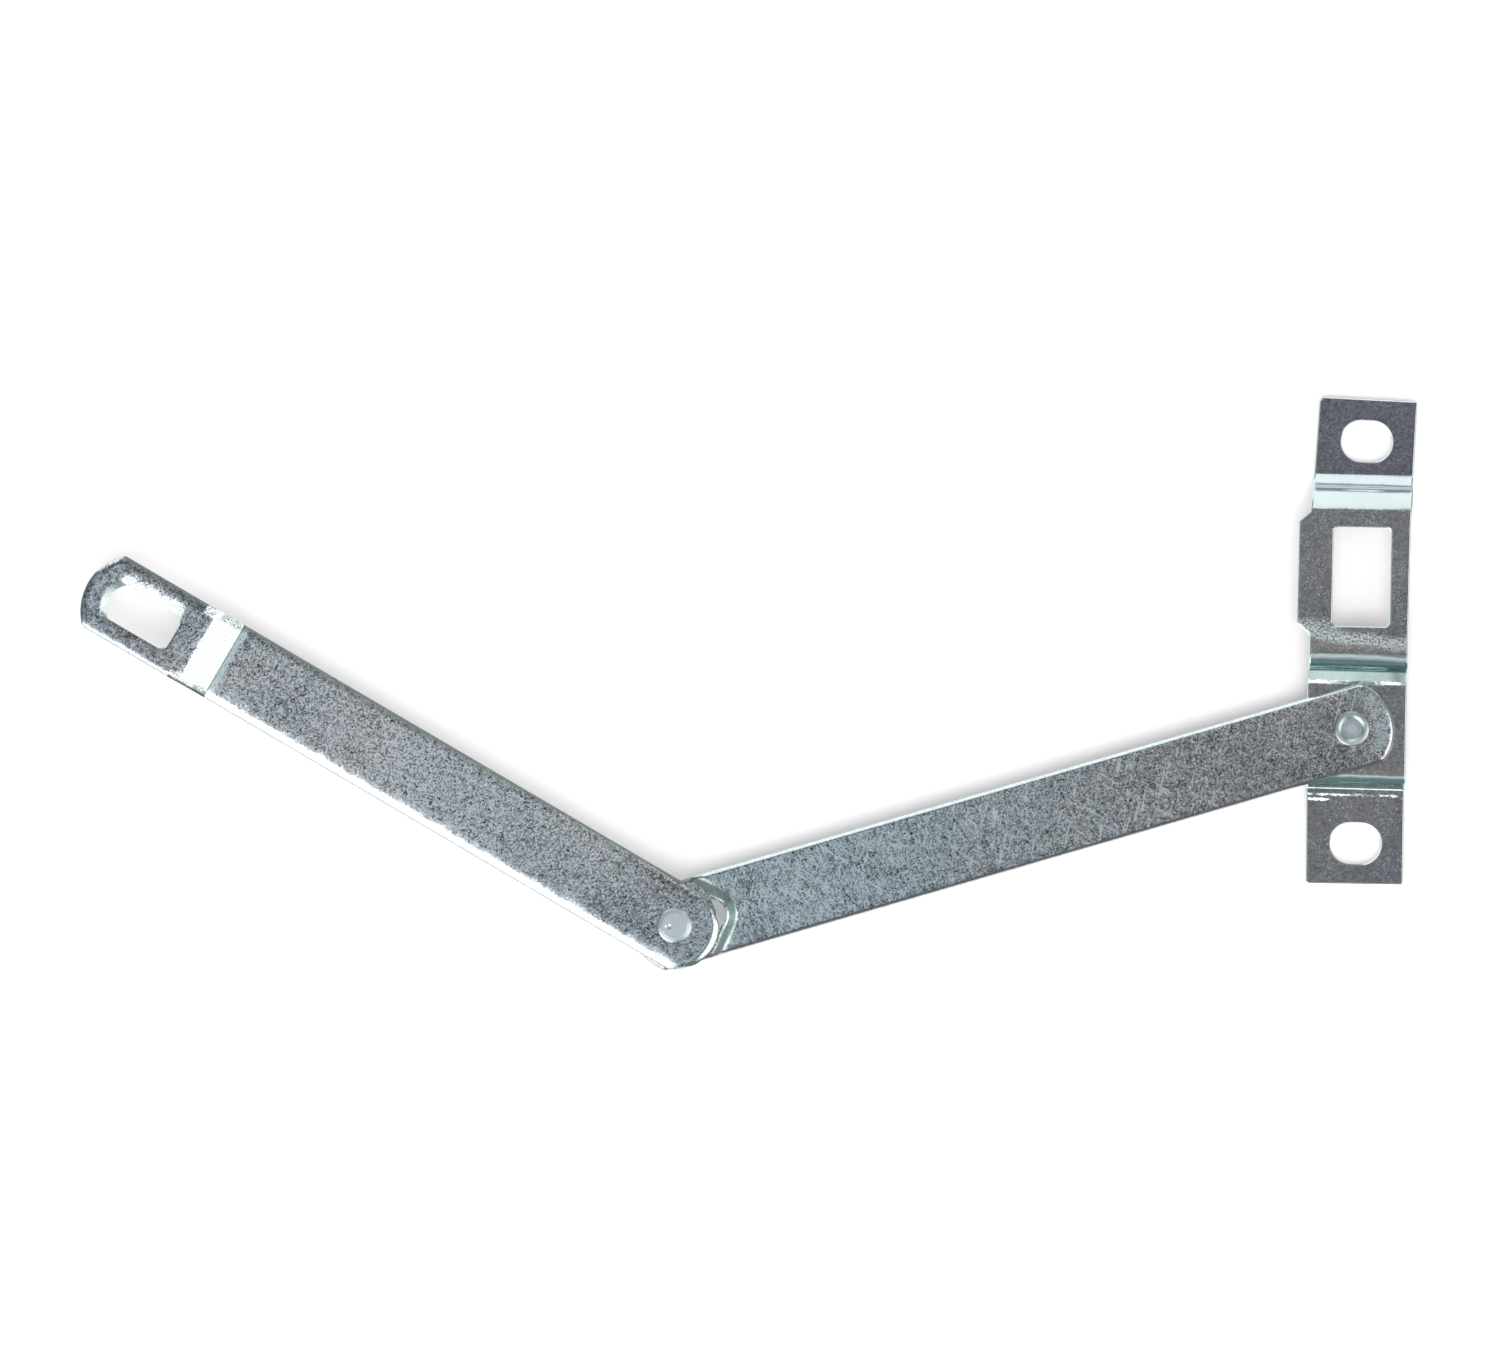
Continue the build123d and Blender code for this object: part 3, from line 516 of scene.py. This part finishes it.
# ---------------------------------------------------------------- studio
def toward(azimuth, zenith):
    """Unit vector. Azimuth runs clockwise from the right of the photograph, zenith down from straight up."""
    a = math.radians(-azimuth + 1.61)
    z = math.radians(zenith)
    return Vector((math.cos(a) * math.sin(z), math.sin(a) * math.sin(z), math.cos(z)))


def emission(name, colour, strength):
    m = bpy.data.materials.new(name)
    m.use_nodes = True
    t = Tree(m.node_tree)
    e = t.node("ShaderNodeEmission")
    e.inputs["Color"].default_value = (*colour, 1.0)
    e.inputs["Strength"].default_value = strength
    out = t.node("ShaderNodeOutputMaterial")
    t.put(out.inputs["Surface"], e.outputs[0])
    return m


def card(name, centre, aim, size, colour, strength):
    """A reflector card that only shows in the metal."""
    half = Vector((size[0] / 2, size[1] / 2))
    mesh = bpy.data.meshes.new(name)
    mesh.from_pydata([(-half.x, -half.y, 0), (half.x, -half.y, 0), (half.x, half.y, 0), (-half.x, half.y, 0)],
                     [], [(0, 1, 2, 3)])
    o = bpy.data.objects.new(name, mesh)
    scene.collection.objects.link(o)
    o.location = centre
    o.rotation_mode = "QUATERNION"
    o.rotation_quaternion = (Vector(centre) - Vector(aim)).to_track_quat("Z", "Y")
    mesh.materials.append(emission(name + "_glow", colour, strength))
    o.visible_camera = False
    o.visible_diffuse = False
    o.visible_shadow = False
    o.visible_transmission = False
    return o


world = bpy.data.worlds.new("studio")
scene.world = world
world.use_nodes = True
w = Tree(world.node_tree)
ray = w.node("ShaderNodeTexCoord").outputs["Generated"]
ray = w.vec("NORMALIZE", ray)


def lobe(azimuth, zenith, inner, outer, colour, strength):
    d = w.vec("DOT_PRODUCT", ray, tuple(toward(azimuth, zenith)))
    k = w.ramp(d, math.cos(math.radians(outer)), math.cos(math.radians(inner)))
    return w.vec("SCALE", tuple(c * strength for c in colour), k)


up = w.parts(ray)[2]
# a dim room, a soft ceiling panel straight above, pale surroundings below the horizon
flat_ray = w.vec("NORMALIZE", w.vec("MULTIPLY", ray, (1.0, 1.0, 0.0)))
behind = w.vec("DOT_PRODUCT", flat_ray, tuple(toward(300, 90)))
side = w.ramp(behind, -0.5, 0.8)
dim = w.vec("ADD", (0.085, 0.118, 0.122), w.vec("SCALE", (0.105, 0.085, 0.085), side))
upper_right = w.vec("DOT_PRODUCT", flat_ray, tuple(toward(327, 90)))
lower_left = w.ramp(w.vec("DOT_PRODUCT", flat_ray, tuple(toward(124, 90))), 0.72, 0.92)
below = w.vec("SCALE", (0.98, 1.0, 1.0), times(w, w.ramp(up, -0.20, -0.32, 0.0, 0.70),
                                               w.ramp(upper_right, 0.50, 0.71, 1.0, 0.0),
                                               plus(w, 1.0, times(w, lower_left, 0.45))))
low_haze = w.vec("SCALE", (0.050, 0.072, 0.073), w.ramp(up, 0.80, 0.55))
base = w.vec("ADD", w.vec("ADD", dim, low_haze), below)
for light in (
    lobe(0, 0, 8, 22, (0.95, 1.0, 1.05), 0.13),          # ceiling
    lobe(20, 50, 22, 32, (1.0, 1.0, 1.0), 1.25),         # right of the photograph
    lobe(130, 56, 23, 32, (1.0, 1.0, 1.0), 1.35),        # lower left
    lobe(124, 90, 22, 34, (1.0, 1.0, 1.0), 0.95),        # lower left, at the horizon
    lobe(90, 18, 5, 9, (0.90, 1.0, 1.0), 0.42),          # small panel, high, below the photograph
    lobe(90, 29, 8, 14, (1.0, 0.97, 0.92), 0.30),
    lobe(250, 84, 22, 32, (0.96, 1.0, 1.0), 0.80),       # low, behind
):
    base = w.vec("ADD", base, light)
bg = w.node("ShaderNodeBackground")
w.put(bg.inputs["Color"], base)
bg.inputs["Strength"].default_value = 1.0
wout = w.node("ShaderNodeOutputWorld")
w.put(wout.inputs["Surface"], bg.outputs[0])

card("card_upper_right", (0.02, 0.21, 0.43), (0.02, 0.0, 0.43), (0.11, 1.50), (0.95, 1.0, 1.0), 1.06)
card("card_overhead", (-0.36, 0.0, 0.90), (-0.36, 0.0, 0.0), (0.56, 0.70), (0.94, 1.0, 1.06), 0.56)


def sun(name, azimuth, zenith, angle, strength):
    lamp = bpy.data.lights.new(name, "SUN")
    lamp.angle = math.radians(angle)
    lamp.energy = strength
    o = bpy.data.objects.new(name, lamp)
    scene.collection.objects.link(o)
    o.rotation_mode = "QUATERNION"
    o.rotation_quaternion = toward(azimuth, zenith).to_track_quat("Z", "Y")
    o.visible_camera = False
    o.visible_glossy = False
    return o


key_o = sun("key", 88, 14, 34, KEY)
fill_o = sun("fill", 112, 16, 150, FILL)

# pale floor, seen from above only, and a pale backdrop beyond it
mesh = bpy.data.meshes.new("floor")
mesh.from_pydata([(-7, -7, 0), (7, -7, 0), (7, 7, 0), (-7, 7, 0)], [], [(0, 1, 2, 3)])
floor = bpy.data.objects.new("floor", mesh)
scene.collection.objects.link(floor)
fm = bpy.data.materials.new("floor_pale")
fm.use_nodes = True
t = Tree(fm.node_tree)
d = t.node("ShaderNodeBsdfDiffuse")
d.inputs["Color"].default_value = (0.94, 0.90, 0.90, 1.0)
clear = t.node("ShaderNodeBsdfTransparent")
mixer = t.node("ShaderNodeMixShader")
t.put(mixer.inputs[0], t.node("ShaderNodeNewGeometry").outputs["Backfacing"])
t.put(mixer.inputs[1], d.outputs[0])
t.put(mixer.inputs[2], clear.outputs[0])
t.put(t.node("ShaderNodeOutputMaterial").inputs["Surface"], mixer.outputs[0])
mesh.materials.append(fm)

bpy.ops.mesh.primitive_uv_sphere_add(segments=48, ring_count=24, radius=9.5, location=(0, 0, 0))
backdrop = bpy.context.object
backdrop.name = "backdrop"
backdrop.data.materials.append(emission("backdrop_pale", (1.0, 1.0, 1.0), 1.0))
backdrop.visible_diffuse = backdrop.visible_glossy = backdrop.visible_shadow = False
backdrop.visible_transmission = False
floor.visible_glossy = False


# ---------------------------------------------------------------- camera
cam_data = bpy.data.cameras.new("camera")
cam_data.sensor_width = 36.0
cam_data.lens = 36.0 * 3.0 / 0.4602
cam_data.clip_start = 0.1
cam_data.clip_end = 50.0
camera = bpy.data.objects.new("camera", cam_data)
scene.collection.objects.link(camera)
camera.location = (-0.18771, -0.01555, 3.0132)
camera.rotation_euler = (0.0, 0.0, math.radians(1.6097))
scene.camera = camera

scene.view_settings.view_transform = "Standard"
scene.view_settings.look = "None"
